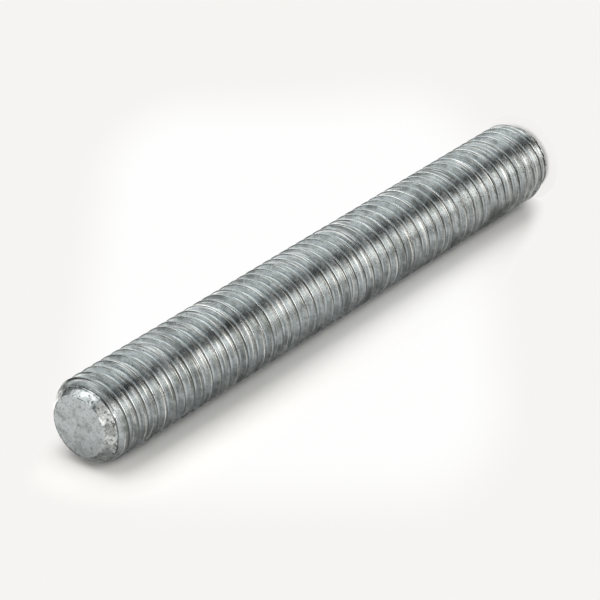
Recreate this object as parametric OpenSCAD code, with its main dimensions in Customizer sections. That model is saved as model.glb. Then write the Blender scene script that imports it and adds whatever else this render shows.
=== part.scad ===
// Metric threaded rod: a steel bar threaded over its whole length, with a chamfered flat face at each end.
// The rod stands on one end face. The origin is the centre of that face and +Z runs along the rod.

/* [Rod] */
// Major diameter, measured over the thread crests
major_d = 10; // [9:0.5:16]
// Length from one end face to the other
rod_len = 80; // [40:1:120]

/* [Thread] */
// Advance of the thread in one turn
pitch = 1.5; // [1.25:0.05:2]
// Angle between the two flanks of a groove
flank_angle = 60; // [55:1:65]
// Width of the flat along the crest
crest_w = 0.4; // [0.2:0.05:0.5]
// Width of the flat along the root
root_w = 0.25; // [0.15:0.05:0.35]

/* [Ends] */
// Diameter of each flat end face
face_d = 7.4; // [5:0.1:7.6]
// Diameter at which the chamfer gives way to the lead-in taper
shoulder_d = 9.3; // [8:0.1:9.8]
// Length of each chamfer, measured along the rod
chamfer_len = 1.1; // [0.5:0.1:2]
// Length of each lead-in taper, over which the thread reaches its full diameter
lead_in_len = 1.4; // [0.5:0.1:3]

/* [Hidden] */
// Clearance between the crests and the envelope that shapes the ends
envelope_gap = 0.05;
// Turns built past each end before the end faces cut them off
spare_turns = 2;
// Triangles that the helical surface may take
triangle_budget = 11500;
// Corners of the thread profile in one pitch, two at the crest and two at the root
profile_corners = 4;
major_r = major_d / 2;
// Half of a groove's angle gives its depth from the width that its two flanks share
thread_depth = (pitch - crest_w - root_w) / (2 * tan(flank_angle / 2));
minor_r = major_r - thread_depth;
flank_w = thread_depth * tan(flank_angle / 2);
turns = ceil(rod_len / pitch) + 2 * spare_turns;
// Columns round one turn: a multiple of four, so that the crests reach the full diameter on X and Y
columns = 4 * floor(triangle_budget / (4 * 2 * profile_corners * turns));
rows = turns * profile_corners;
// Radius and height of each profile corner, from the start of a crest to the end of the next root
corner_r = [major_r, major_r, minor_r, minor_r];
corner_z = [0, crest_w, crest_w + flank_w, crest_w + flank_w + root_w];

// Point of the helical surface in column j, whose height grows with its angle: a right-hand thread
function thread_point(j, row) =
    let (turn = floor(row / profile_corners))
    let (corner = row % profile_corners)
    let (angle = 360 * j / columns)
    [
        corner_r[corner] * cos(angle),
        corner_r[corner] * sin(angle),
        pitch * (turn - spare_turns + j / columns) + corner_z[corner]
    ];

function point_index(j, row) = j * rows + row;

// Column reached from column j, which is column 0 one turn further on after the last one
function next_index(j, row) =
    j < columns - 1 ? point_index(j + 1, row) : point_index(0, row + profile_corners);

// The helical surface closed below and above by a fan of triangles that the end faces cut away
module helical_core() {
    points = [
        for (j = [0:columns - 1])
            for (row = [0:rows - 1])
                thread_point(j, row)
    ];
    bottom_tip = len(points);
    top_tip = bottom_tip + 1;
    tips = [
        [0, 0, -pitch * (spare_turns + 1)],
        [0, 0, pitch * (turns - spare_turns + 1)]
    ];
    last_row = rows - 1;
    side = [
        for (j = [0:columns - 1])
            let (end = j < columns - 1 ? last_row : last_row - profile_corners)
            for (row = [0:end - 1])
                [
                    point_index(j, row),
                    point_index(j, row + 1),
                    next_index(j, row + 1),
                    next_index(j, row)
                ]
    ];
    bottom_edge = [
        for (j = [0:columns - 1]) point_index(j, 0),
        for (row = [profile_corners:-1:1]) point_index(0, row)
    ];
    top_edge = [
        for (j = [0:columns - 1]) point_index(j, last_row),
        for (row = [last_row - 1:-1:last_row - profile_corners]) point_index(columns - 1, row)
    ];
    bottom_fan = [
        for (i = [0:len(bottom_edge) - 1])
            [bottom_tip, bottom_edge[i], bottom_edge[(i + 1) % len(bottom_edge)]]
    ];
    top_fan = [
        for (i = [0:len(top_edge) - 1])
            [top_tip, top_edge[(i + 1) % len(top_edge)], top_edge[i]]
    ];
    polyhedron(
        points = concat(points, tips),
        faces = concat(side, bottom_fan, top_fan),
        convexity = 10
    );
}

// The outline that both ends are turned to: face, chamfer, lead-in taper, then clear of the crests
module end_envelope() {
    face_r = face_d / 2;
    shoulder_r = shoulder_d / 2;
    clear_r = major_r + envelope_gap;
    taper_end = chamfer_len + lead_in_len;
    rotate_extrude($fn = 96)
        polygon([
            [0, 0],
            [face_r, 0],
            [shoulder_r, chamfer_len],
            [clear_r, taper_end],
            [clear_r, rod_len - taper_end],
            [shoulder_r, rod_len - chamfer_len],
            [face_r, rod_len],
            [0, rod_len]
        ]);
}

module threaded_rod() {
    color("lightslategray")
        intersection() {
            helical_core();
            end_envelope();
        }
}

threaded_rod();
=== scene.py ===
"""Zinc-coated threaded rod, and the table top that it is shown on."""

import math

import bmesh
import bpy
import numpy as np
from bpy.props import FloatProperty, FloatVectorProperty, PointerProperty
from mathutils import Matrix, Vector, noise


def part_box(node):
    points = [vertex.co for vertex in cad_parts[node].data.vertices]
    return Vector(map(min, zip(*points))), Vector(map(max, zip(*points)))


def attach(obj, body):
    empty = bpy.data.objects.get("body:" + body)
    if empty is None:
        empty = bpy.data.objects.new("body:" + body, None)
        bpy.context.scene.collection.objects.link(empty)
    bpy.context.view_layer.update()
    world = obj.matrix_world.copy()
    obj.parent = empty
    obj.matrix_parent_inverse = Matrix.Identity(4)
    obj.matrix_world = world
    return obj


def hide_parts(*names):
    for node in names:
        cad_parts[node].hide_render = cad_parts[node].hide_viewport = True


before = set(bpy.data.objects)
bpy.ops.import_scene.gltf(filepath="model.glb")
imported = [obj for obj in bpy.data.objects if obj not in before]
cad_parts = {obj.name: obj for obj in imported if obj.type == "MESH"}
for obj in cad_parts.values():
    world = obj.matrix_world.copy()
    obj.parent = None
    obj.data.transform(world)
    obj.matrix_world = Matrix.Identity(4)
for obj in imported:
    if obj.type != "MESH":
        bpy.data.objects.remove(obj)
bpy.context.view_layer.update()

bl_info = {
    "name": "Threaded Rod",
    "version": (1, 0, 0),
    "blender": (4, 5, 0),
    "location": "View3D > Sidebar > Threaded Rod",
    "description": "Makes a zinc-coated threaded rod and the table top that it is shown on",
    "category": "Add Mesh",
}

MM = 0.001
UP = Vector((0, 0, 1))
ROD_NODE = "threaded_rod"
ROD_LOW, ROD_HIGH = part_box(ROD_NODE)
ROD_LENGTH = ROD_HIGH.z - ROD_LOW.z
ROD_DIAMETER = ROD_HIGH.x - ROD_LOW.x


# ---------------------------------------------------------------------------
# Form of the rod
# ---------------------------------------------------------------------------

# Columns of the thread round one turn
COLUMNS = 88
# Turns spun past each end face, at the least, before the ends are cut
SPARE_TURNS = 2
# Points and faces closer than this count as one
TOUCH = 0.001 * MM

# Seam along the crest: share of the crest's width and share of the seam's depth
SEAM_CURVE = ((0.0, 0.0), (0.28, 0.35), (0.5, 1.0), (0.72, 0.35), (1.0, 0.0))
# Steps in which each lip of the crest is rounded
LIP_STEPS = 4
# Where each flank has its middle point, as a share of the way down from the crest
FLANK_POINT = 0.6
# Share of each flank that rounds into the root
ROOT_ROUNDING = 0.35
# Rounded root: shares of the rounding's reach and of its rise, from the flank to the flat
ROOT_CURVE = ((1.0, 1.0), (0.4, 0.37))
# Height of the middle of the root, as a share of the same rise
ROOT_MIDDLE = 0.1

# Length of the rounding between each end face and its chamfer
FACE_ROUNDING = 0.12 * MM
# Rounded edge: share of that length, and radius past the face's, in millimetres
FACE_EDGE = ((0.0, -0.06), (0.35, 0.02))
# Step behind the shoulder of each chamfer: distance past it and radius above it, in millimetres
SHOULDER_STEP = ((-0.06, -0.02), (0.06, -0.30), (0.22, -0.26), (0.40, 0.14))
# Rings of points cut near each end, as shares of the chamfer's length
END_RINGS = (0.04, 0.11, 0.4, 0.7, 0.95, 1.05, 1.2, 1.36, 1.5, 1.75, 2.0, 2.25)
# Only faces this close to a ring are cut by it
RING_REACH = 0.6 * MM
# Rings of each end face, as shares of its radius
FACE_RINGS = (0.93, 0.8, 0.62, 0.42, 0.2)

# Lumps and hollows of the coating: scale and shift of the noise, and share of the depth
LUMPS = ((900, Vector((0, 0, 0)), 0.55), (2600, Vector((7, 3, 1)), 0.45))
# Near the ends the lumps are deeper by this share, over this length
END_LUMPS = 2.2
END_REACH = 4 * MM
# Dents near the ends: scale and shift of the noise, its level where they start, and their depth
DENT_SCALE, DENT_SHIFT = 420, Vector((3, 5, 2))
DENT_START = 0.05
DENT_DEPTH = 0.35 * MM


# ---------------------------------------------------------------------------
# Sizes and colours
# ---------------------------------------------------------------------------


# What every colour property has
COLOUR = {"size": 3, "min": 0.0, "max": 1.0, "subtype": "COLOR"}


class RodSettings(bpy.types.PropertyGroup):
    """Sizes and colours of the threaded rod."""

    diameter: FloatProperty(
        name="Diameter",
        description="Diameter over the thread crests",
        default=ROD_DIAMETER,
        min=0.004,
        max=0.03,
        unit="LENGTH",
        precision=5,
    )
    length: FloatProperty(
        name="Length",
        description="Length from one end face to the other",
        default=ROD_LENGTH,
        min=0.02,
        max=0.09,
        unit="LENGTH",
        precision=5,
    )
    pitch: FloatProperty(
        name="Pitch",
        description="Advance of the thread in one turn",
        default=1.5 * MM,
        min=0.5 * MM,
        max=4 * MM,
        unit="LENGTH",
        precision=6,
    )
    crest_width: FloatProperty(
        name="Crest Width",
        description="Width of the crest between the two flanks",
        default=0.4 * MM,
        unit="LENGTH",
        precision=6,
    )
    root_width: FloatProperty(
        name="Root Width",
        description="Width of the root between the two flanks",
        default=0.25 * MM,
        unit="LENGTH",
        precision=6,
    )
    flank_angle: FloatProperty(
        name="Flank Angle",
        description="Angle between the two flanks of a groove",
        default=math.radians(60),
        subtype="ANGLE",
    )
    lip_radius: FloatProperty(
        name="Crest Lip Radius",
        description="Rounding of the two edges of the crest",
        default=0.24 * MM,
        unit="LENGTH",
        precision=6,
    )
    seam_depth: FloatProperty(
        name="Crest Seam Depth",
        description="Depth of the rolling seam along the middle of the crest",
        default=0.02 * MM,
        unit="LENGTH",
        precision=6,
    )
    face_diameter: FloatProperty(
        name="Face Diameter",
        description="Diameter of each flat end face",
        default=7.4 * MM,
        unit="LENGTH",
        precision=5,
    )
    shoulder_diameter: FloatProperty(
        name="Shoulder Diameter",
        description="Diameter at which the chamfer gives way to the lead-in",
        default=9.3 * MM,
        unit="LENGTH",
        precision=5,
    )
    chamfer_length: FloatProperty(
        name="Chamfer Length",
        description="Length of each chamfer along the rod",
        default=1.1 * MM,
        unit="LENGTH",
        precision=5,
    )
    lead_in_length: FloatProperty(
        name="Lead-in Length",
        description="Length over which the thread reaches its full diameter",
        default=0.8 * MM,
        unit="LENGTH",
        precision=5,
    )
    unevenness: FloatProperty(
        name="Unevenness",
        description="Depth of the lumps and hollows that the coating leaves",
        default=0.02 * MM,
        unit="LENGTH",
        precision=6,
    )
    zinc_colour: FloatVectorProperty(
        name="Zinc",
        description="Colour of the coating where it is even",
        default=(0.36, 0.385, 0.375),
        **COLOUR,
    )
    # Paler patches, and also the painted light low in the groove
    bloom_and_light_colour: FloatVectorProperty(
        name="Zinc Bloom",
        description="Colour of the paler, bluer patches of the coating",
        default=(0.53, 0.57, 0.58),
        **COLOUR,
    )
    # Dull patches, and also the painted shade on the crests and in the crest seam
    stain_and_shade_colour: FloatVectorProperty(
        name="Stain",
        description="Colour of the dull patches of the coating",
        default=(0.15, 0.165, 0.155),
        **COLOUR,
    )
    # Pits and specks, and also the painted shade behind each crest and in the dip behind each
    # chamfer's shoulder
    speck_and_shade_colour: FloatVectorProperty(
        name="Specks",
        description="Colour of the pits and specks",
        default=(0.035, 0.04, 0.035),
        **COLOUR,
    )
    steel_colour: FloatVectorProperty(
        name="Rubbed Metal",
        description="Colour where the coating is rubbed bright",
        default=(0.80, 0.80, 0.77),
        **COLOUR,
    )


class StageSettings(bpy.types.PropertyGroup):
    """Floor, light and camera."""

    floor_colour: FloatVectorProperty(
        name="Floor",
        description="Colour of the floor and the board",
        default=(0.925, 0.912, 0.886),
        **COLOUR,
    )
    backdrop_colour: FloatVectorProperty(
        name="Backdrop",
        description="Colour of the floor and the board away from the rod",
        default=(0.922, 0.905, 0.888),
        **COLOUR,
    )
    board_azimuth: FloatProperty(
        name="Board Direction",
        description="Direction that the board faces, from the front towards the right",
        default=math.radians(45),
        subtype="ANGLE",
    )
    key_power: FloatProperty(
        name="Key Lamp",
        description="Power of the soft lamp in front of the rod, a little towards the lit side",
        default=1.62,
        unit="POWER",
    )
    side_power: FloatProperty(
        name="Side Lamp",
        description="Power of the narrow lamp on the shadow side",
        default=0.92,
        unit="POWER",
    )
    wide_power: FloatProperty(
        name="Wide Lamp",
        description="Power of the wide lamp that fills the shadow",
        default=0.42,
        unit="POWER",
    )
    top_power: FloatProperty(
        name="Top Lamp",
        description="Power of the lamp high above the rod, which lights the floor",
        default=3.1,
        unit="POWER",
    )
    camera_azimuth: FloatProperty(
        name="Camera Direction",
        description="Direction of the camera, from the front towards the right",
        default=math.radians(-2.5),
        subtype="ANGLE",
    )
    camera_elevation: FloatProperty(
        name="Camera Elevation",
        description="Angle of the camera above the level of its aim",
        default=math.radians(42.31),
        subtype="ANGLE",
    )
    camera_roll: FloatProperty(
        name="Camera Roll",
        description="Turn of the camera about its line of sight",
        default=math.radians(121.61),
        subtype="ANGLE",
    )
    camera_distance: FloatProperty(
        name="Camera Distance",
        description="Distance of the camera from its aim",
        default=0.35101,
        unit="LENGTH",
        precision=5,
    )
    camera_aim: FloatVectorProperty(
        name="Camera Aim",
        description="Point on the camera's line of sight",
        default=(-0.00077, 0.00003, 0.04365),
        size=3,
        subtype="TRANSLATION",
        unit="LENGTH",
        precision=5,
    )
    lens: FloatProperty(
        name="Focal Length",
        description="Focal length of the camera, in millimetres on a 36 mm sensor",
        default=185.9,
    )


# ---------------------------------------------------------------------------
# Helpers
# ---------------------------------------------------------------------------


def add_object(name, data):
    """A new object in the scene's collection."""
    obj = bpy.data.objects.new(name, data)
    bpy.context.scene.collection.objects.link(obj)
    return obj


def opaque(colour):
    """A colour with full alpha."""
    return (*colour, 1.0)


class Nodes:
    """Adds nodes to a node tree, left to right, with their inputs set in one call."""

    def __init__(self, tree):
        self.tree = tree
        self.tree.nodes.clear()
        self.count = 0

    def set_input(self, socket, value):
        """Links a socket to an output, or gives it a value."""
        if isinstance(value, bpy.types.NodeSocket):
            self.tree.links.new(value, socket)
        else:
            socket.default_value = value

    def add(self, kind, inputs=None, **settings):
        """A node with its inputs and settings."""
        node = self.tree.nodes.new(kind)
        node.location = (200 * (self.count // 4), -260 * (self.count % 4))
        self.count += 1
        for key, value in settings.items():
            setattr(node, key, value)
        for key, value in (inputs or {}).items():
            self.set_input(node.inputs[key], value)
        return node

    def math(self, operation, first, second=None, clamp=False):
        """One step of arithmetic."""
        inputs = {0: first}
        if second is not None:
            inputs[1] = second
        node = self.add("ShaderNodeMath", inputs, operation=operation, use_clamp=clamp)
        return node.outputs[0]

    def times(self, first, *others):
        """Product of two values or more."""
        for other in others:
            first = self.math("MULTIPLY", first, other)
        return first

    def plus(self, first, *others):
        """Sum of two values or more."""
        for other in others:
            first = self.math("ADD", first, other)
        return first

    def past(self, value, limit):
        """How far the size of a value goes past a limit."""
        size = self.math("ABSOLUTE", value)
        return self.math("MAXIMUM", self.math("SUBTRACT", size, limit), 0.0)

    def minus(self, vector, point):
        """Vector from a point."""
        inputs = {0: vector, 1: point}
        node = self.add("ShaderNodeVectorMath", inputs, operation="SUBTRACT")
        return node.outputs["Vector"]

    def dot(self, vector, axis):
        """Length of a vector along an axis."""
        inputs = {0: vector, 1: axis}
        node = self.add("ShaderNodeVectorMath", inputs, operation="DOT_PRODUCT")
        return node.outputs["Value"]

    def length(self, vector):
        """Length of a vector."""
        node = self.add("ShaderNodeVectorMath", {0: vector}, operation="LENGTH")
        return node.outputs["Value"]

    def diagonal(self, first, second):
        """Length of the diagonal over two sides."""
        return self.length(self.add("ShaderNodeCombineXYZ", {0: first, 1: second}).outputs[0])

    def parts(self, vector):
        """X, Y and Z of a vector."""
        return self.add("ShaderNodeSeparateXYZ", {0: vector}).outputs

    def place(self):
        """Position on the object."""
        return self.add("ShaderNodeTexCoord").outputs["Object"]

    def fade(self, value, low, high, start=0.0, end=1.0):
        """Smooth step from start, where the value is low, to end, where it is high."""
        inputs = {
            "Value": value,
            "From Min": low,
            "From Max": high,
            "To Min": start,
            "To Max": end,
        }
        node = self.add("ShaderNodeMapRange", inputs, interpolation_type="SMOOTHSTEP")
        return node.outputs["Result"]

    def mix(self, factor, first, second):
        """Mix of two colours."""
        node = self.add("ShaderNodeMix", data_type="RGBA")
        for key, value in (("Factor", factor), ("A", first), ("B", second)):
            socket = next(
                s
                for s in node.inputs
                if s.name == key and s.type in ("RGBA", "VALUE") and s.enabled
            )
            self.set_input(socket, value)
        return next(s for s in node.outputs if s.type == "RGBA")

    def noise(self, vector, scale, detail, roughness):
        """Noise whose scale is in cycles for each metre."""
        inputs = {"Vector": vector, "Scale": scale, "Detail": detail, "Roughness": roughness}
        return self.add("ShaderNodeTexNoise", inputs).outputs["Fac"]

    def drawn(self, run, along, over, detail):
        """Noise stretched along the thread, from its scales along and across the thread."""
        inputs = {"Vector": run, "Scale": (along, over, 1.0)}
        stretched = self.add("ShaderNodeMapping", inputs).outputs["Vector"]
        return self.noise(stretched, scale=1.0, detail=detail, roughness=0.6)


# ---------------------------------------------------------------------------
# The rod
# ---------------------------------------------------------------------------


def thread_profile(rod):
    """Height and radius of the thread over one pitch, from the lip of a crest to the next."""
    major = rod.diameter / 2
    half_angle = rod.flank_angle / 2
    flank = (rod.pitch - rod.crest_width - rod.root_width) / 2
    depth = flank / math.tan(half_angle)
    bend = math.pi / 2 - half_angle
    reach = rod.lip_radius * math.tan(bend / 2)

    def lip(step):
        """How far along and how far in the rounded lip lies after a step."""
        angle = bend * step / LIP_STEPS
        return rod.lip_radius * math.sin(angle), rod.lip_radius * (1 - math.cos(angle))

    # Crest, with the seam along its middle
    points = [
        (reach + share * (rod.crest_width - 2 * reach), major - dip * rod.seam_depth)
        for share, dip in SEAM_CURVE
    ]
    # Lip, from the crest round to the flank
    for along, inwards in map(lip, range(1, LIP_STEPS + 1)):
        points.append((rod.crest_width - reach + along, major - inwards))
    # Flank, rounded root and the other flank
    root_start = rod.crest_width + flank
    root_end = root_start + rod.root_width
    bottom = major - depth
    soft, rise = ROOT_ROUNDING * flank, ROOT_ROUNDING * depth
    flank_radius = major - FLANK_POINT * depth
    points.append((rod.crest_width + FLANK_POINT * flank, flank_radius))
    for out, lift in ROOT_CURVE:
        points.append((root_start - out * soft, bottom + lift * rise))
    points.append(((root_start + root_end) / 2, bottom + ROOT_MIDDLE * rise))
    for out, lift in reversed(ROOT_CURVE):
        points.append((root_end + out * soft, bottom + lift * rise))
    points.append((rod.pitch - FLANK_POINT * flank, flank_radius))
    # Lip up to the next crest
    for along, inwards in map(lip, range(LIP_STEPS, -1, -1)):
        points.append((rod.pitch + reach - along, major - inwards))
    return points


def end_radius(rod, distance):
    """Largest radius that the end shape leaves at a distance from the nearer end face."""
    face = rod.face_diameter / 2
    shoulder = rod.shoulder_diameter / 2
    slope = (shoulder - face) / rod.chamfer_length
    steps = [(share * FACE_ROUNDING, face + past * MM) for share, past in FACE_EDGE]
    steps.append((FACE_ROUNDING, face + FACE_ROUNDING * slope))
    for past, above in SHOULDER_STEP:
        steps.append((rod.chamfer_length + past * MM, shoulder + above * MM))
    steps.append((rod.chamfer_length + rod.lead_in_length, rod.diameter / 2))
    return float(np.interp(distance, *zip(*steps)))


def spun_thread(rod):
    """The thread's surface over more turns than the rod has, spun from its profile."""
    bm = bmesh.new()
    start = -SPARE_TURNS * rod.pitch
    line = [
        bm.verts.new((radius, 0.0, start + height)) for height, radius in thread_profile(rod)
    ]
    edges = [bm.edges.new(pair) for pair in zip(line, line[1:])]
    bmesh.ops.spin(
        bm,
        geom=line + edges,
        cent=(0, 0, 0),
        axis=(0, 0, 1),
        dvec=(0, 0, rod.pitch / COLUMNS),
        angle=2 * math.pi,
        steps=COLUMNS,
        use_merge=False,
        use_normal_flip=False,
        use_duplicate=False,
    )
    turns = rod.length / rod.pitch + 2 * SPARE_TURNS
    for doubling in range(math.ceil(math.log2(turns))):
        copied = bmesh.ops.duplicate(bm, geom=bm.verts[:] + bm.edges[:] + bm.faces[:])
        verts = [g for g in copied["geom"] if isinstance(g, bmesh.types.BMVert)]
        bmesh.ops.translate(bm, verts=verts, vec=(0, 0, 2**doubling * rod.pitch))
    bmesh.ops.remove_doubles(bm, verts=bm.verts, dist=2 * TOUCH)
    return bm


def cut_ends(bm, rod):
    """Cuts off what lies past each end face."""
    for height, normal in ((0.0, (0, 0, -1)), (rod.length, (0, 0, 1))):
        bmesh.ops.bisect_plane(
            bm,
            geom=bm.verts[:] + bm.edges[:] + bm.faces[:],
            dist=TOUCH,
            plane_co=(0, 0, height),
            plane_no=normal,
            clear_outer=True,
            clear_inner=False,
        )


def cut_rings(bm, rod):
    """Adds rings of points near each end, so that the chamfer and its shoulder come out crisp."""
    for share in END_RINGS:
        distance = share * rod.chamfer_length
        for height in (distance, rod.length - distance):
            near = [
                face
                for face in bm.faces
                if any(abs(v.co.z - height) < RING_REACH for v in face.verts)
            ]
            around = {v for face in near for v in face.verts}
            around |= {e for face in near for e in face.edges}
            bmesh.ops.bisect_plane(
                bm,
                geom=near + list(around),
                dist=TOUCH,
                plane_co=(0, 0, height),
                plane_no=(0, 0, 1),
            )


def shape_surface(bm, rod):
    """Brings the ends to their chamfers, and moves the surface inwards for its lumps and dents."""
    for v in bm.verts:
        v.co.z = min(max(v.co.z, 0.0), rod.length)
        radius = math.hypot(v.co.x, v.co.y)
        distance = min(v.co.z, rod.length - v.co.z)
        new_radius = min(radius, end_radius(rod, distance))
        if distance >= TOUCH:
            near_end = max(0.0, 1 - distance / END_REACH)
            lumps = sum(
                share * (0.5 * noise.noise(v.co * scale + shift) + 0.5)
                for scale, shift, share in LUMPS
            )
            dent = max(0.0, noise.noise(v.co * DENT_SCALE + DENT_SHIFT) - DENT_START)
            new_radius -= rod.unevenness * lumps * (1 + END_LUMPS * near_end)
            new_radius -= DENT_DEPTH * dent * near_end
        v.co.x *= new_radius / radius
        v.co.y *= new_radius / radius


def close_end(bm, height):
    """Closes one end with rings that run in to the middle of the face."""
    rim = [
        e
        for e in bm.edges
        if e.is_boundary and all(abs(v.co.z - height) < TOUCH for v in e.verts)
    ]
    scale_before = 1.0
    for scale in FACE_RINGS:
        made = bmesh.ops.extrude_edge_only(bm, edges=rim)["geom"]
        verts = [g for g in made if isinstance(g, bmesh.types.BMVert)]
        rim = [g for g in made if isinstance(g, bmesh.types.BMEdge) and g.is_boundary]
        ratio = scale / scale_before
        bmesh.ops.scale(bm, vec=(ratio, ratio, 1), verts=verts)
        scale_before = scale
    made = bmesh.ops.extrude_edge_only(bm, edges=rim)["geom"]
    verts = [g for g in made if isinstance(g, bmesh.types.BMVert)]
    bmesh.ops.pointmerge(bm, verts=verts, merge_co=(0, 0, height))


def helix_uv(mesh, rod):
    """A UV map that runs along the thread: u along the turns and v across them, in metres."""

    def read(items, name, width, kind=float):
        """One value or more of each item, as an array."""
        values = np.empty(len(items) * width, dtype=kind)
        items.foreach_get(name, values)
        return values.reshape(-1, width) if width > 1 else values

    corner = read(mesh.loops, "vertex_index", 1, np.int64)
    here = read(mesh.vertices, "co", 3)[corner]
    sizes = read(mesh.polygons, "loop_total", 1, np.int64)
    middle = np.repeat(read(mesh.polygons, "center", 3), sizes, axis=0)

    lift = rod.pitch / (2 * math.pi)
    middle_angle = np.arctan2(middle[:, 1], middle[:, 0])
    turn = np.floor((middle[:, 2] - lift * middle_angle) / rod.pitch)
    step = np.arctan2(here[:, 1], here[:, 0]) - middle_angle
    step = (step + math.pi) % (2 * math.pi) - math.pi
    angle = middle_angle + step + 2 * math.pi * turn
    uv = np.column_stack((angle * rod.diameter / 2, here[:, 2] - lift * angle))
    layer = mesh.uv_layers.new(name="thread_run")
    layer.data.foreach_set("uv", uv.ravel())


def make_rod(rod):
    """The rod's mesh: the thread, its cut ends and its uneven surface."""
    bm = spun_thread(rod)
    cut_ends(bm, rod)
    cut_rings(bm, rod)
    shape_surface(bm, rod)
    for height in (0.0, rod.length):
        close_end(bm, height)
    bmesh.ops.remove_doubles(bm, verts=bm.verts, dist=TOUCH)
    bmesh.ops.recalc_face_normals(bm, faces=bm.faces)
    for face in bm.faces:
        face.smooth = True
    mesh = bpy.data.meshes.new("rod_thread")
    bm.to_mesh(mesh)
    bm.free()
    helix_uv(mesh, rod)
    return mesh


def where_on_rod(n, rod, place, run):
    """Where a point lies: across the thread from 0 to 1, distance from the nearer end face, and
    how much it is on a chamfer, an end face or the thread."""
    across = n.math("DIVIDE", n.parts(run)["Y"], rod.pitch)
    axes = n.parts(place)
    radius = n.diagonal(axes["X"], axes["Y"])
    from_end = n.math("MINIMUM", axes["Z"], n.math("SUBTRACT", rod.length, axes["Z"]))
    face_radius = rod.face_diameter / 2
    chamfer = n.times(
        n.fade(from_end, rod.chamfer_length + 0.5 * MM, rod.chamfer_length - 0.1 * MM),
        n.fade(radius, face_radius - 0.1 * MM, face_radius + 0.05 * MM),
    )
    face = n.times(
        n.fade(from_end, 0.1 * MM, 0.03 * MM),
        n.fade(radius, face_radius, face_radius - 0.12 * MM),
    )
    ends = n.math("MAXIMUM", face, chamfer, clamp=True)
    thread = n.math("SUBTRACT", 1.0, ends, clamp=True)
    return across, from_end, chamfer, face, thread


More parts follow.
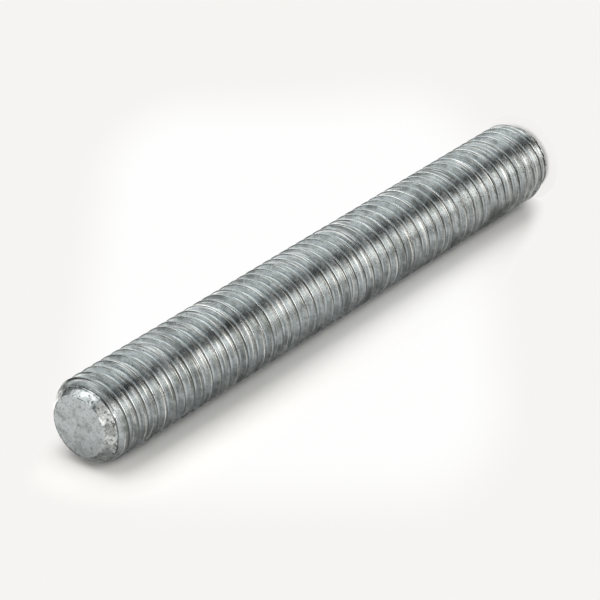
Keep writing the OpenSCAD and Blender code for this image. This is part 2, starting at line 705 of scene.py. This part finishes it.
def zinc_material(rod):
    """Mottled zinc on steel: paler patches and stains, marks drawn along the thread, pits, bare
    edges, and painted light and shade on the thread.
    """
    material = bpy.data.materials.new("zinc_coated_steel")
    material.use_nodes = True
    n = Nodes(material.node_tree)
    place = n.place()
    run = n.add("ShaderNodeUVMap", uv_map="thread_run").outputs["UV"]
    zinc, bloom_and_light, stain_and_shade = map(opaque, (rod.zinc_colour, rod.bloom_and_light_colour, rod.stain_and_shade_colour))
    speck_and_shade, steel = opaque(rod.speck_and_shade_colour), opaque(rod.steel_colour)
    across, from_end, chamfer, face, thread = where_on_rod(n, rod, place, run)

    # Patterns, coarse to fine, and the marks along the thread
    clouds = n.noise(place, scale=330, detail=3, roughness=0.6)
    patches = n.noise(place, scale=900, detail=4, roughness=0.62)
    mottle = n.noise(place, scale=2600, detail=3, roughness=0.65)
    grain = n.noise(place, scale=6500, detail=2, roughness=0.6)
    streaks = n.drawn(run, along=300, over=7000, detail=3)
    smears = n.drawn(run, along=500, over=2600, detail=4)
    scratches = n.drawn(run, along=110, over=8500, detail=2)

    # Bloom and stains
    colour = n.mix(n.fade(patches, 0.40, 0.60), zinc, bloom_and_light)
    colour = n.mix(n.times(n.fade(mottle, 0.48, 0.66), 0.35), colour, stain_and_shade)
    colour = n.mix(n.times(n.fade(clouds, 0.50, 0.64), 0.8), colour, stain_and_shade)
    streaked = n.times(n.fade(streaks, 0.50, 0.70), thread)
    colour = n.mix(n.times(streaked, 0.45), colour, stain_and_shade)

    # Painted light low in the groove, and paler patches on the end faces
    painted_groove_light = n.fade(n.plus(across, n.times(smears, 0.12)), 0.40, 0.52)
    pale = n.math(
        "MAXIMUM",
        n.times(painted_groove_light, thread, 0.5),
        n.times(face, n.fade(patches, 0.35, 0.6, start=0.3, end=0.85)),
        clamp=True,
    )
    colour = n.mix(pale, colour, bloom_and_light)

    # Darker crest, partly a duller coating and partly painted shade, and painted shade along the
    # edge behind it
    crest = n.times(
        n.fade(across, 0.46, 0.15),
        thread,
        n.fade(smears, 0.30, 0.62, start=0.85, end=0.5),
    )
    colour = n.mix(crest, colour, stain_and_shade)
    painted_shade_behind_crest = n.times(
        n.fade(across, 0.24, 0.04),
        thread,
        n.fade(smears, 0.3, 0.6, start=0.5, end=0.85),
    )
    colour = n.mix(painted_shade_behind_crest, colour, speck_and_shade)

    # Painted shade in the dip behind the shoulder of each chamfer and in the seam of the crest
    shoulder = rod.chamfer_length
    painted_shoulder_shade = n.times(
        n.fade(from_end, shoulder - 0.05 * MM, shoulder + 0.1 * MM),
        n.fade(from_end, shoulder + 0.5 * MM, shoulder + 0.25 * MM),
        n.fade(patches, 0.38, 0.52, start=0.3, end=0.9),
    )
    colour = n.mix(painted_shoulder_shade, colour, speck_and_shade)
    seam_place = rod.crest_width / 2 / rod.pitch
    from_seam = n.math("ABSOLUTE", n.math("SUBTRACT", across, seam_place))
    seam = n.times(n.fade(from_seam, 0.075, 0.03), thread, n.fade(smears, 0.38, 0.52))
    colour = n.mix(n.times(seam, 0.3), colour, stain_and_shade)

    # Bright lines drawn along the thread, and the rubbed chamfer
    drawn_on = n.math(
        "MAXIMUM", n.fade(across, 0.50, 0.40), n.fade(from_end, 3.2 * MM, 2.2 * MM)
    )
    lines = n.times(n.fade(scratches, 0.57, 0.63), drawn_on, thread)
    bare = n.times(chamfer, n.fade(patches, 0.48, 0.58))
    rubbed = n.math("MAXIMUM", n.times(lines, 0.75), n.times(bare, 0.55))
    colour = n.mix(rubbed, colour, steel)

    # Specks everywhere, and pits in the end faces and chamfers
    specks = n.times(
        n.fade(grain, 0.60, 0.70), n.fade(clouds, 0.40, 0.55, start=0.25, end=0.8)
    )
    pitted = n.math("ADD", n.times(chamfer, 0.8), n.times(face, 0.4), clamp=True)
    pits = n.times(n.fade(mottle, 0.54, 0.66), pitted)
    colour = n.mix(n.math("MAXIMUM", specks, pits), colour, speck_and_shade)

    uneven = n.fade(patches, 0.35, 0.7, start=0.21, end=0.34)
    roughness = n.math("SUBTRACT", uneven, n.times(rubbed, 0.08))
    height = n.plus(
        n.times(patches, 0.5),
        n.times(mottle, 0.25),
        n.times(grain, 0.12),
        n.times(streaks, thread, 0.35),
    )
    bump = n.add(
        "ShaderNodeBump", {"Strength": 0.6, "Distance": 0.04 * MM, "Height": height}
    )
    shader = n.add(
        "ShaderNodeBsdfPrincipled",
        {
            "Base Color": colour,
            "Metallic": 1.0,
            "Roughness": roughness,
            "Normal": bump.outputs["Normal"],
        },
    )
    n.add("ShaderNodeOutputMaterial", {"Surface": shader.outputs["BSDF"]})
    return material


class OBJECT_OT_make_threaded_rod(bpy.types.Operator):
    """Makes the rod with its thread, end faces and zinc coating"""

    bl_idname = "object.make_threaded_rod"
    bl_label = "Make Threaded Rod"

    def execute(self, context):
        rod = context.scene.rod_settings
        obj = add_object("zinc_threaded_rod", make_rod(rod))
        obj.data.materials.append(zinc_material(rod))
        if not obj.data.polygons:
            raise RuntimeError("the rod came out empty")
        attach(obj, "root")
        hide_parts(ROD_NODE)
        return {"FINISHED"}


# ---------------------------------------------------------------------------
# The stage
# ---------------------------------------------------------------------------

FLOOR_WIDTH = 3.0
BOARD_WIDTH = 0.7
BOARD_HEIGHT = 0.45

# Lamps: name and setting of the power, lean to the side and lift above level in degrees as seen
# from the rod's middle, distance from it, and size
LAMPS = (
    ("key_lamp", "key_power", 14, 10, 0.45, (0.33, 0.5)),
    ("side_lamp", "side_power", -36, 10, 0.50, (0.2, 0.5)),
    ("wide_lamp", "wide_power", -15, 14, 0.35, (1.3, 0.5)),
    ("top_lamp", "top_power", 0, 75, 0.70, (0.5, 0.5)),
)

# Soft boxes of the surroundings: from and to angle round the rod in degrees, softness of these
# two edges, lowest and highest direction (from -1 straight down to 1 straight up), strength
SOFT_BOXES = (
    # Low on the lit side
    (-10, 24, 7, -1.1, -0.45, 2.1),
    (24, 90, 7, -1.1, -0.45, 3.3),
    # Level and high on the lit side
    (-14, 30, 8, -0.45, 0.2, 0.8),
    (30, 86, 8, -0.45, 0.2, 0.16),
    (2, 48, 8, 0.2, 1.1, 1.02),
    (48, 104, 8, 0.2, 1.1, 0.85),
    (80, 104, 6, 0.24, 0.65, 0.7),
    # The shadow side
    (-72, -34, 6, -0.72, -0.4, 0.4),
    (-74, -36, 6, -0.4, 0.72, 0.6),
    (-100, -56, 5, 0.72, 1.1, 2.85),
    (-88, -46, 5, -0.36, 0.15, 2.4),
    (-76, -56, 5, -0.36, 0.15, 1.1),
    # Across the front
    (-60, 42, 10, 0.33, 0.72, 0.7),
    # Behind the board
    (95, 200, 5, -1.1, 1.1, 0.7),
    (-200, -95, 5, -1.1, 1.1, 0.42),
)
# Softness of the lower and upper edges of the boxes
BOX_SOFTNESS = 0.06
# Light between the boxes
GAP_LEVEL = 0.07
COOL_LIGHT = (0.97, 0.99, 1.0, 1.0)
WARM_LIGHT = (1.0, 0.965, 0.94, 1.0)

# Painted light: a pale square, as a pool of light thrown on the board and the floor. Its middle,
# how fast it runs out along each of its two directions (to the side, up and forwards, per metre),
# and where its edge lies
PALE_MIDDLE = (0.0082, 0.0346)
PALE_RUNS = ((-34.8, -28.2, 0.0), (-14.3, 17.65, -38.7))
PALE_CORE = 0.55
PALE_EDGE = (0.30, 0.68)
PAINTED_LIGHT_COLOUR = (0.992, 0.992, 0.99, 1.0)
# Painted shade: share of the floor's colour that the matt surface keeps outside the painted pool
# of light
PAINTED_SHADE_SHARE = 0.92


def level_direction(azimuth):
    """Level direction at an angle from the front (-Y) towards the right (+X)."""
    return Vector((math.sin(azimuth), -math.cos(azimuth), 0.0))


def plane_mesh(name, corner, first, second):
    """A flat rectangle from one corner along two sides."""
    bm = bmesh.new()
    bmesh.ops.create_grid(bm, x_segments=1, y_segments=1, size=0.5)
    axes = Matrix((first, second, first.cross(second).normalized())).transposed()
    matrix = axes.to_4x4()
    matrix.translation = corner + (first + second) / 2
    bmesh.ops.transform(bm, matrix=matrix, verts=bm.verts)
    mesh = bpy.data.meshes.new(name)
    bm.to_mesh(mesh)
    bm.free()
    return mesh


def painted_light_square(n, place, side):
    """How much of the painted pool of light, a pale square, lies at a place, from 0 to 1."""
    facing = side.cross(UP)
    to_side, upwards = PALE_MIDDLE
    middle = side * to_side + UP * upwards - facing * ROD_DIAMETER / 2
    moved = n.minus(place, middle)
    over = []
    for to_side, upwards, forwards in PALE_RUNS:
        run = side * to_side + UP * upwards + facing * forwards
        over.append(n.past(n.dot(moved, run), PALE_CORE))
    low, high = PALE_EDGE
    # Nothing of it lies behind the board
    in_front = n.fade(n.dot(moved, facing), -1.5 * MM, -0.5 * MM)
    return n.times(n.fade(n.diagonal(*over), high, low), in_front)


def board_shade(n, place, side):
    """On the board: distance from the rod, where the backdrop starts, and the side painted
    brighter in the rod's reflection.
    """
    # An upright line behind the rod, which stops short of its ends
    middle = Vector((0, 0, ROD_LENGTH / 2 + 3 * MM))
    reach = ROD_LENGTH / 2 - 8 * MM
    moved = n.minus(place, middle)
    beyond = n.past(n.parts(moved)["Z"], reach)
    sideways = n.dot(place, side)
    lifted = n.parts(place)["Z"]
    near = n.diagonal(sideways, beyond)

    # Painted light: the backdrop's glow cuts the shadow narrow low down and on the lit side, and
    # lightens it towards the floor
    narrowed = n.times(
        sideways,
        n.fade(lifted, 0.0, 25 * MM, start=1.7, end=1.0),
        n.fade(sideways, 0.0, 3 * MM, start=1.0, end=1.9),
    )
    soft = n.times(
        n.fade(n.math("ABSOLUTE", sideways), 1 * MM, 11 * MM, end=0.75),
        n.fade(lifted, 60 * MM, 25 * MM),
    )
    past_shadow = n.fade(n.diagonal(narrowed, beyond), 8 * MM, 13 * MM)
    outside = n.math("MAXIMUM", past_shadow, soft)

    # Painted light in the rod's reflection: a brighter band on the lit side, and that side
    # brighter as a whole, up to the rod's top
    painted_glow_stripe = n.times(
        n.fade(sideways, 6 * MM, 9 * MM, end=1.1), n.fade(sideways, 20 * MM, 14 * MM)
    )
    lit_side = n.times(
        n.plus(n.fade(sideways, -2 * MM, 4 * MM, end=0.35), painted_glow_stripe),
        n.fade(lifted, ROD_LENGTH, ROD_LENGTH - 6 * MM),
    )
    return near, outside, lit_side


def floor_shade(n, place):
    """On the floor: distance from the rod, where the backdrop starts, and no brighter side."""
    near = n.length(place)
    # Painted light: from the rod's foot outwards, the backdrop's glow covers all but a trace of
    # the rod's shadow on the floor
    outside = n.math(
        "MAXIMUM",
        n.fade(near, 3.6 * MM, 4.5 * MM, end=0.93),
        n.fade(near, 4.6 * MM, 5.6 * MM),
    )
    return near, outside, 0.0


def pale_material(name, stage, side, upright):
    """Matt and pale round the rod, where its shadow falls, and an even backdrop further out, with
    a painted pool of light over both.
    """
    material = bpy.data.materials.new(name)
    material.use_nodes = True
    n = Nodes(material.node_tree)
    ray = n.add("ShaderNodeLightPath").outputs
    reflected = n.math("MAXIMUM", ray["Is Glossy Ray"], ray["Is Transmission Ray"])
    place = n.place()
    painted_light_pool = painted_light_square(n, place, side)
    if upright:
        near, outside, lit_side = board_shade(n, place, side)
    else:
        near, outside, lit_side = floor_shade(n, place)

    # Painted light and shade on the matt surface: full floor colour inside the painted pool of
    # light, dimmer outside it
    dull = opaque(PAINTED_SHADE_SHARE * value for value in stage.floor_colour)
    matt = n.add(
        "ShaderNodeBsdfDiffuse", {"Color": n.mix(painted_light_pool, dull, opaque(stage.floor_colour))}
    )
    # Painted reflection: in the rod's own reflection the strip behind it is dimmed, as painted
    # shade, and one side of it is brightened, as painted light
    dim = n.plus(n.fade(near, 3 * MM, 13 * MM, start=0.28), lit_side)
    # The glow is paler inside the painted pool of light
    glow = n.add(
        "ShaderNodeEmission",
        {
            "Color": n.mix(painted_light_pool, opaque(stage.backdrop_colour), PAINTED_LIGHT_COLOUR),
            "Strength": n.plus(n.math("SUBTRACT", 1.0, reflected), n.times(reflected, dim)),
        },
    )
    shown = n.math("MAXIMUM", n.times(ray["Is Camera Ray"], outside), reflected)
    surface = n.add(
        "ShaderNodeMixShader", {0: shown, 1: matt.outputs[0], 2: glow.outputs[0]}
    )
    if upright:
        # From behind, the board can't be seen
        clear = n.add("ShaderNodeBsdfTransparent")
        behind = n.add("ShaderNodeNewGeometry").outputs["Backfacing"]
        surface = n.add(
            "ShaderNodeMixShader", {0: behind, 1: surface.outputs[0], 2: clear.outputs[0]}
        )
    n.add("ShaderNodeOutputMaterial", {"Surface": surface.outputs[0]})
    return material


def area_lamp(name, place, aim, size, power):
    """A soft lamp that can't be seen itself. The first of its two sizes runs level."""
    lamp = bpy.data.lights.new(name, "AREA")
    lamp.shape = "RECTANGLE"
    lamp.size, lamp.size_y = size
    lamp.energy = power
    obj = add_object(name, lamp)
    obj.location = place
    obj.rotation_euler = (place - aim).to_track_quat("Z", "Y").to_euler()
    obj.visible_camera = False
    obj.visible_glossy = False


def studio_world(stage, facing, side):
    """Surroundings: soft boxes round the rod for its reflections, and a plain pale backdrop."""
    world = bpy.data.worlds.new("studio")
    world.use_nodes = True
    n = Nodes(world.node_tree)
    direction = n.add("ShaderNodeTexCoord").outputs["Generated"]
    angle = n.math("ARCTAN2", n.dot(direction, side), n.dot(direction, facing))
    height = n.dot(direction, UP)

    level = GAP_LEVEL
    for start, end, soft, bottom, top, strength in SOFT_BOXES:
        start, end, soft = (math.radians(degrees) for degrees in (start, end, soft))
        box = n.times(
            n.fade(angle, start - soft, start + soft, end=strength),
            n.fade(angle, end + soft, end - soft),
            n.fade(height, bottom - BOX_SOFTNESS, bottom + BOX_SOFTNESS),
            n.fade(height, top + BOX_SOFTNESS, top - BOX_SOFTNESS),
        )
        level = n.plus(level, box)
    # A last glow straight below the lit side
    below = n.times(
        n.fade(height, -0.84, -0.94, end=0.9),
        n.fade(angle, math.radians(-12), math.radians(8)),
    )
    level = n.plus(level, below)
    shadow_side = n.fade(angle, math.radians(-28), math.radians(-42))
    tint = n.mix(shadow_side, COOL_LIGHT, WARM_LIGHT)
    light = n.add("ShaderNodeBackground", {"Color": tint, "Strength": level})
    backdrop = n.add(
        "ShaderNodeBackground", {"Color": opaque(stage.backdrop_colour), "Strength": 1.0}
    )
    straight = n.add("ShaderNodeLightPath").outputs["Is Camera Ray"]
    surface = n.add(
        "ShaderNodeMixShader",
        {0: straight, 1: light.outputs[0], 2: backdrop.outputs[0]},
    )
    n.add("ShaderNodeOutputWorld", {"Surface": surface.outputs[0]})
    world.cycles_visibility.diffuse = False
    bpy.context.scene.world = world


def place_camera(stage):
    """The camera, from its direction, distance and turn."""
    level = level_direction(stage.camera_azimuth)
    elevation = stage.camera_elevation
    back = level * math.cos(elevation) + UP * math.sin(elevation)
    right = UP.cross(back).normalized()
    up = back.cross(right)
    turn = Matrix.Rotation(-stage.camera_roll, 3, back)
    camera = bpy.data.cameras.new("camera")
    camera.sensor_width = 36.0
    camera.lens = stage.lens
    camera.clip_start = 0.01
    camera.clip_end = 20.0
    obj = add_object("camera", camera)
    matrix = Matrix((turn @ right, turn @ up, back)).transposed().to_4x4()
    matrix.translation = Vector(stage.camera_aim) + back * stage.camera_distance
    obj.matrix_world = matrix
    bpy.context.scene.camera = obj


class SCENE_OT_make_studio_stage(bpy.types.Operator):
    """Makes the floor, the board beside the rod, the lamps, the surroundings and the camera"""

    bl_idname = "scene.make_studio_stage"
    bl_label = "Make Studio Stage"

    def execute(self, context):
        stage = context.scene.stage_settings
        rod = context.scene.rod_settings
        facing = level_direction(stage.board_azimuth)
        side = UP.cross(facing)

        corner = Vector((-FLOOR_WIDTH / 2, -FLOOR_WIDTH / 2, 0))
        to_right, to_back = Vector((FLOOR_WIDTH, 0, 0)), Vector((0, FLOOR_WIDTH, 0))
        floor = add_object("floor", plane_mesh("floor", corner, to_right, to_back))
        floor.data.materials.append(pale_material("pale_floor", stage, side, upright=False))
        corner = -facing * rod.diameter / 2 - side * BOARD_WIDTH / 2
        across, upwards = side * BOARD_WIDTH, UP * BOARD_HEIGHT
        board = add_object("board", plane_mesh("board", corner, across, upwards))
        board.data.materials.append(pale_material("pale_board", stage, side, upright=True))
        floor.visible_glossy = False
        floor.visible_diffuse = False
        board.visible_diffuse = False

        middle = UP * rod.length / 2
        for name, power, lean, lift, distance, size in LAMPS:
            lean, lift = math.radians(lean), math.radians(lift)
            level = facing * math.cos(lean) + side * math.sin(lean)
            towards = level * math.cos(lift) + UP * math.sin(lift)
            area_lamp(name, middle + towards * distance, middle, size, getattr(stage, power))
        studio_world(stage, facing, side)
        place_camera(stage)
        context.scene.view_settings.view_transform = "Standard"
        return {"FINISHED"}


# ---------------------------------------------------------------------------
# Panel and registration
# ---------------------------------------------------------------------------


class VIEW3D_PT_threaded_rod(bpy.types.Panel):
    """Lists the operators and their sizes and colours"""

    bl_label = "Threaded Rod"
    bl_idname = "VIEW3D_PT_threaded_rod"
    bl_space_type = "VIEW_3D"
    bl_region_type = "UI"
    bl_category = "Threaded Rod"

    def draw(self, context):
        layout = self.layout
        for operator, settings in (
            (OBJECT_OT_make_threaded_rod, context.scene.rod_settings),
            (SCENE_OT_make_studio_stage, context.scene.stage_settings),
        ):
            box = layout.box()
            box.operator(operator.bl_idname)
            for name in settings.__annotations__:
                box.prop(settings, name)


CLASSES = (
    RodSettings,
    StageSettings,
    OBJECT_OT_make_threaded_rod,
    SCENE_OT_make_studio_stage,
    VIEW3D_PT_threaded_rod,
)


def register():
    for cls in CLASSES:
        bpy.utils.register_class(cls)
    bpy.types.Scene.rod_settings = PointerProperty(type=RodSettings)
    bpy.types.Scene.stage_settings = PointerProperty(type=StageSettings)


def unregister():
    del bpy.types.Scene.stage_settings
    del bpy.types.Scene.rod_settings
    for cls in reversed(CLASSES):
        bpy.utils.unregister_class(cls)


def main():
    register()
    bpy.ops.object.make_threaded_rod()
    bpy.ops.scene.make_studio_stage()


if __name__ == "__main__":
    main()
